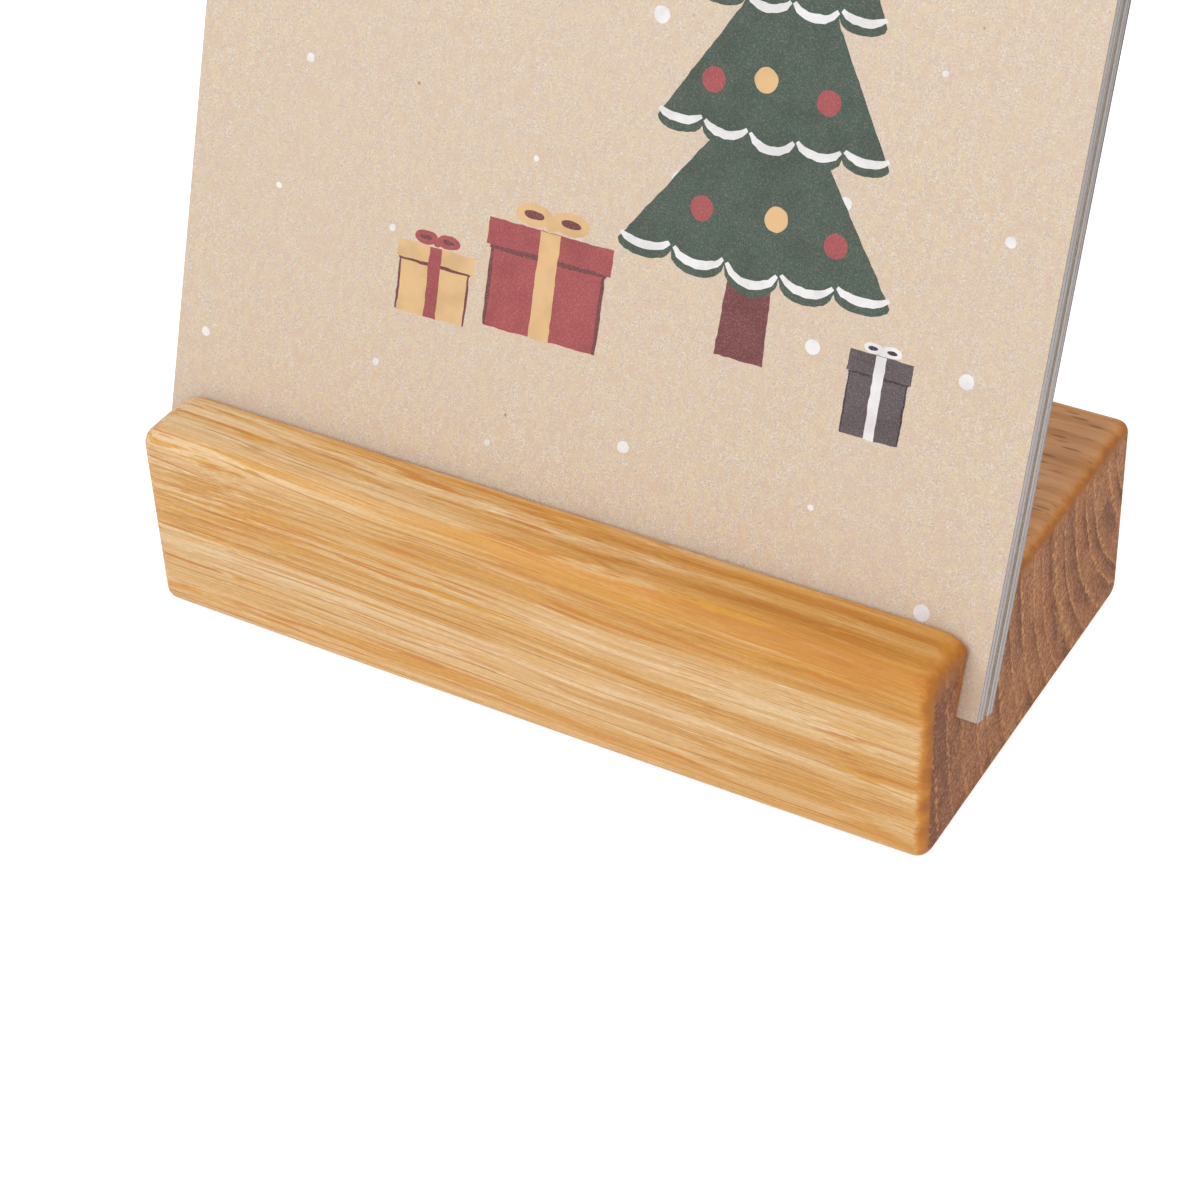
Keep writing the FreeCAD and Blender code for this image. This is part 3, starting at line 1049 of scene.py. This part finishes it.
def gift(inks, middle, foot, width, height):
    """Wrapped box with a lid, a ribbon and a bow, its sides shaded with strokes.

    Its parts are sized as shares of its width and height.
    """
    paper, ribbon, shade = inks
    lid = height * 0.24
    half = width / 2
    top = foot + height
    shapes = [
        (
            paper,
            [
                (middle - half * 0.94, foot),
                (middle + half * 0.92, foot + width * 0.01),
                (middle + half * 0.96, top - lid),
                (middle - half * 0.96, top - lid),
            ],
        ),
        (
            paper,
            [
                (middle - half * 1.04, top - lid),
                (middle + half * 1.05, top - lid * 1.04),
                (middle + half * 1.04, top),
                (middle - half * 1.03, top + lid * 0.05),
            ],
        ),
    ]
    for side in (-1, 1):
        edge = [(middle + side * half * 0.93, foot + height * share) for share in (0.01, 0.25, 0.5, 0.74)]
        shapes.append(stroke(shade, edge, width * 0.035))
    under = [(middle + half * share, top - lid * 1.06) for share in (-0.98, -0.5, 0, 0.5, 0.98)]
    shapes.append(stroke(shade, under, width * 0.04))
    band = width * 0.085
    ribbon_top = [(middle + band * 0.94, top), (middle - band, top)]
    shapes.append((ribbon, [(middle - band, foot), (middle + band, foot)] + ribbon_top))
    bow = top + width * 0.10
    for side in (-1, 1):
        loop_middle = (middle + side * width * 0.15, bow)
        shapes.append(oval(ribbon, loop_middle, (width * 0.16, width * 0.085)))
        eye_middle = (middle + side * width * 0.155, bow)
        shapes.append(oval(shade, eye_middle, (width * 0.085, width * 0.032), BOW_EYE_STEPS))
    shapes.append(dot(ribbon, (middle, top + width * 0.07), width * 0.06))
    return shapes


def sprig(middle, foot, size, berries):
    """Two toothed leaves with a vein each, and round berries where they meet, as shares of its size."""
    shapes = []
    for side in (-1, 1):
        outline = []
        for step in range(LEAF_STEPS + 1):
            share = step / LEAF_STEPS
            bulge = math.sin(math.pi * share) * (LEAF_TOOTH_SHARE if step % 2 else LEAF_NOTCH_SHARE)
            outline.append((share, bulge))
        lower = [(share, -bulge) for share, bulge in outline[-2:0:-1]]
        tilt = math.radians(LEAF_TILT_DEGREES)
        leaf = []
        for share, bulge in outline + lower:
            x = side * size * (share * math.cos(tilt) - bulge * math.sin(tilt))
            leaf.append((middle + x, foot + size * (share * math.sin(tilt) + bulge * math.cos(tilt))))
        shapes.append((GREEN_INK, leaf))
        vein = [
            (middle + side * size * share * math.cos(tilt), foot + size * share * math.sin(tilt))
            for share in (0.12, 0.4, 0.68, 0.9)
        ]
        shapes.append(stroke(OCHRE_INK, vein, size * 0.03))
    for berry in range(berries):
        angle = math.radians(90 + 360 * berry / berries)
        centre = (middle + size * 0.13 * math.cos(angle), foot + size * 0.13 * math.sin(angle))
        shapes.append(dot(RED_INK, centre, size * 0.11))
    return shapes


def firs_and_gifts():
    shapes = fir_tree(middle=19, foot=31, width=32, height=96, tiers=5)
    shapes += fir_tree(middle=-31, foot=62, width=19, height=44, tiers=4)
    shapes += gift(RED_GIFT, middle=-5, foot=27, width=15, height=12)
    shapes += gift(OCHRE_GIFT, middle=-19, foot=26, width=9.5, height=8)
    shapes += gift(CHARCOAL_GIFT, middle=35, foot=26.5, width=7, height=9)
    shapes += sprig(middle=-10, foot=112, size=10, berries=3)
    return shapes


def gift_stack():
    shapes = gift(RED_GIFT, middle=0, foot=22, width=46, height=26)
    shapes += gift(GREEN_GIFT, middle=-2, foot=52, width=34, height=20)
    shapes += gift(OCHRE_GIFT, middle=1, foot=75, width=24, height=17)
    shapes += sprig(middle=0, foot=112, size=16, berries=3)
    return shapes


def row_of_firs():
    shapes = fir_tree(middle=-30, foot=30, width=26, height=66, tiers=4)
    shapes += fir_tree(middle=0, foot=24, width=34, height=96, tiers=5)
    shapes += fir_tree(middle=31, foot=29, width=27, height=72, tiers=4)
    return shapes


def sprigs_in_snow():
    shapes = []
    for row in range(4):
        for column in range(3):
            shift = 12 if row % 2 else 0
            shapes += sprig(middle=-34 + 28 * column + shift, foot=26 + 29 * row, size=11, berries=3)
    return shapes


# The cards, from the front to the back, each with its joint, its design, the seed of its snow and of its
# painted edges, and how much painted shade darkens the rear layer of its board's edge
CARDS = {
    "front_card": ("front_card_lift", firs_and_gifts, 7, 0.0),
    "second_card": ("second_card_lift", row_of_firs, 8, 0.35),
    "third_card": ("third_card_lift", gift_stack, 9, 0.1),
    "back_card": ("back_card_lift", sprigs_in_snow, 10, 0.9),
}


def snow_tree():
    """Geometry nodes that scatter round dots of several sizes over a flat sheet."""
    tree = bpy.data.node_groups.new("scattered_snow", "GeometryNodeTree")
    face = tree.interface
    face.new_socket("Geometry", in_out="OUTPUT", socket_type="NodeSocketGeometry")
    for name, kind in (
        ("Sheet Width", "NodeSocketFloat"),
        ("Sheet Height", "NodeSocketFloat"),
        ("Spacing", "NodeSocketFloat"),
        ("Largest Radius", "NodeSocketFloat"),
        ("Seed", "NodeSocketInt"),
        ("Ink", "NodeSocketMaterial"),
    ):
        face.new_socket(name, in_out="INPUT", socket_type=kind)
    nodes, links = tree.nodes, tree.links
    given = nodes.new("NodeGroupInput")
    sheet = nodes.new("GeometryNodeMeshGrid")
    sheet.inputs["Vertices X"].default_value = 2
    sheet.inputs["Vertices Y"].default_value = 2
    links.new(given.outputs["Sheet Width"], sheet.inputs["Size X"])
    links.new(given.outputs["Sheet Height"], sheet.inputs["Size Y"])
    scatter = nodes.new("GeometryNodeDistributePointsOnFaces")
    scatter.distribute_method = "POISSON"
    scatter.inputs["Density Max"].default_value = 1.0
    links.new(sheet.outputs["Mesh"], scatter.inputs["Mesh"])
    links.new(given.outputs["Spacing"], scatter.inputs["Distance Min"])
    links.new(given.outputs["Seed"], scatter.inputs["Seed"])
    flake = nodes.new("GeometryNodeMeshCircle")
    flake.fill_type = "NGON"
    flake.inputs["Vertices"].default_value = SNOW_SIDES
    links.new(given.outputs["Largest Radius"], flake.inputs["Radius"])
    size = nodes.new("FunctionNodeRandomValue")
    size.data_type = "FLOAT"
    size.inputs[2].default_value = SNOW_SMALLEST_SHARE
    size.inputs[3].default_value = 1.0
    links.new(given.outputs["Seed"], size.inputs["Seed"])
    lay = nodes.new("GeometryNodeInstanceOnPoints")
    links.new(scatter.outputs["Points"], lay.inputs["Points"])
    links.new(flake.outputs["Mesh"], lay.inputs["Instance"])
    links.new(size.outputs[1], lay.inputs["Scale"])
    real = nodes.new("GeometryNodeRealizeInstances")
    links.new(lay.outputs["Instances"], real.inputs["Geometry"])
    inked = nodes.new("GeometryNodeSetMaterial")
    links.new(real.outputs["Geometry"], inked.inputs["Geometry"])
    links.new(given.outputs["Ink"], inked.inputs["Material"])
    result = nodes.new("NodeGroupOutput")
    links.new(inked.outputs["Geometry"], result.inputs["Geometry"])
    return tree


def snow(tree, width, height, seed, material):
    """Round white shapes scattered over a card, as its other shapes are given."""
    mesh = bpy.data.meshes.new("snow_ground")
    ground = new_object("snow_ground", mesh)
    modifier = ground.modifiers.new("snow", "NODES")
    modifier.node_group = tree
    values = {
        "Sheet Width": width,
        "Sheet Height": height,
        "Spacing": SNOW_SPACING_MM,
        "Largest Radius": SNOW_LARGEST_MM,
        "Seed": seed,
        "Ink": material,
    }
    for item in tree.interface.items_tree:
        if item.item_type == "SOCKET" and item.in_out == "INPUT":
            modifier[item.identifier] = values[item.name]
    evaluated = ground.evaluated_get(bpy.context.evaluated_depsgraph_get())
    scattered = bpy.data.meshes.new_from_object(evaluated)
    shapes = []
    for polygon in scattered.polygons:
        corners = [scattered.vertices[index].co for index in polygon.vertices]
        shapes.append((WHITE_INK, [(corner.x, corner.y + height / 2) for corner in corners]))
    bpy.data.objects.remove(ground)
    bpy.data.meshes.remove(scattered)
    bpy.data.meshes.remove(mesh)
    return shapes


def goes_clockwise(outline):
    sides = zip(outline, outline[1:] + outline[:1])
    return sum(x * next_y - next_x * y for (x, y), (next_x, next_y) in sides) < 0


def hand_drawn(outline):
    """The outline, counter-clockwise in short steps, shaken a little as a painted edge is."""
    if goes_clockwise(outline):
        outline = outline[::-1]
    drawn = []
    for start, finish in zip(outline, outline[1:] + outline[:1]):
        start, finish = Vector(start), Vector(finish)
        steps = max(1, math.ceil((finish - start).length / LINE_STEP_MM))
        for step in range(steps):
            point = start.lerp(finish, step / steps)
            shake = noise.noise_vector(point.to_3d() / LINE_SHAKE_WAVE_MM)
            drawn.append(point + Vector((shake.x, shake.y)) * LINE_SHAKE_MM)
    return drawn


def inked_face(shapes, width, height, seed):
    """The card's face cut along the outline of every shape: its points, its triangles and each one's ink."""
    # The painted edges are then shaken alike each time
    noise.seed_set(seed)
    half = width / 2
    points = [Vector(corner) for corner in ((-half, 0), (half, 0), (half, height), (-half, height))]
    faces = [list(range(4))]
    for _, outline in shapes:
        drawn = hand_drawn(outline)
        faces.append(list(range(len(points), len(points) + len(drawn))))
        points += drawn
    made, _, triangles, _, _, sources = delaunay_2d_cdt(points, [], faces, FILL_INSIDE, SAME_POINT_MM)
    inks = []
    for under in sources:
        top = max(under)
        inks.append(None if top == 0 else shapes[top - 1][0])
    return made, triangles, inks


class CardStance:
    """Where a card stands in the frame: its foot, the way up it and the way through it, and its size."""

    def __init__(self, node, joint_name):
        self.up = joint_axis(joint_name)
        self.through = Vector((0, self.up.z, -self.up.y))
        low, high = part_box(node)
        span = high - low
        both = self.up.z**2 - self.up.y**2
        self.width = span.x
        self.thickness = (span.y * self.up.z - span.z * self.up.y) / both
        self.height = (span.z * self.up.z - span.y * self.up.y) / both
        self.foot = Vector((0, low.y, low.z + self.thickness * self.up.y))

    def place(self, across, upwards, inwards):
        return self.foot + Vector((across, 0, 0)) + self.up * upwards + self.through * inwards


def printed_card(node, stance, shapes, seed, painted_rear_shade, materials):
    """A card: its printed face, its board behind it and the thin arris that the cutter leaves all round."""
    inner_width = (stance.width - 2 * CARD_ARRIS) / MM
    inner_height = (stance.height - 2 * CARD_ARRIS) / MM
    points, triangles, inks = inked_face(shapes, inner_width, inner_height, seed)
    bm = bmesh.new()
    through_layer = bm.verts.layers.float.new("through")
    painted_shade_layer = bm.verts.layers.float.new("painted_rear_shade")
    ink_layer = bm.loops.layers.float_color.new("ink")

    face_corners = []
    for point in points:
        vertex = bm.verts.new(stance.place(point.x * MM, point.y * MM + CARD_ARRIS, 0))
        vertex[through_layer] = 0.0
        face_corners.append(vertex)
    for triangle, ink in zip(triangles, inks):
        made = bm.faces.new([face_corners[index] for index in triangle])
        colour = NO_INK if ink is None else linear(*ink)
        for loop in made.loops:
            loop[ink_layer] = colour

    half = stance.width / 2
    rings = [face_corners[:4]]
    behind = stance.thickness - CARD_ARRIS
    for inwards, inset in ((CARD_ARRIS, 0), (behind, 0), (stance.thickness, CARD_ARRIS)):
        corners = (
            (-half + inset, inset),
            (half - inset, inset),
            (half - inset, stance.height - inset),
            (-half + inset, stance.height - inset),
        )
        ring = []
        for across, upwards in corners:
            vertex = bm.verts.new(stance.place(across, upwards, inwards))
            vertex[through_layer] = inwards / stance.thickness
            vertex[painted_shade_layer] = painted_rear_shade * (inwards < stance.thickness)
            ring.append(vertex)
        rings.append(ring)
    for side in join_rings(bm, rings):
        side.material_index = BOARD_INDEX
    back = bm.faces.new(rings[-1])
    back.material_index = BOARD_INDEX
    bmesh.ops.recalc_face_normals(bm, faces=bm.faces)
    mesh = bpy.data.meshes.new(node + "_board")
    bm.to_mesh(mesh)
    bm.free()
    for material in materials:
        mesh.materials.append(material)
    return new_piece(node + "_board", mesh, node, [node])


def cards():
    materials = (printed_kraft(), card_board())
    scatter = snow_tree()
    margin = 2 * SNOW_LARGEST_MM
    for node, (joint_name, design, seed, painted_rear_shade) in CARDS.items():
        stance = CardStance(node, joint_name)
        sheet = (stance.width / MM - margin, stance.height / MM - margin)
        fallen = snow(scatter, *sheet, seed, materials[0])
        printed_card(node, stance, fallen + design(), seed, painted_rear_shade, materials)


photo_camera()
white_floor()
soft_lamps()
pale_dome()
bpy.context.scene.view_settings.view_transform = "Standard"
oak_block()
cards()
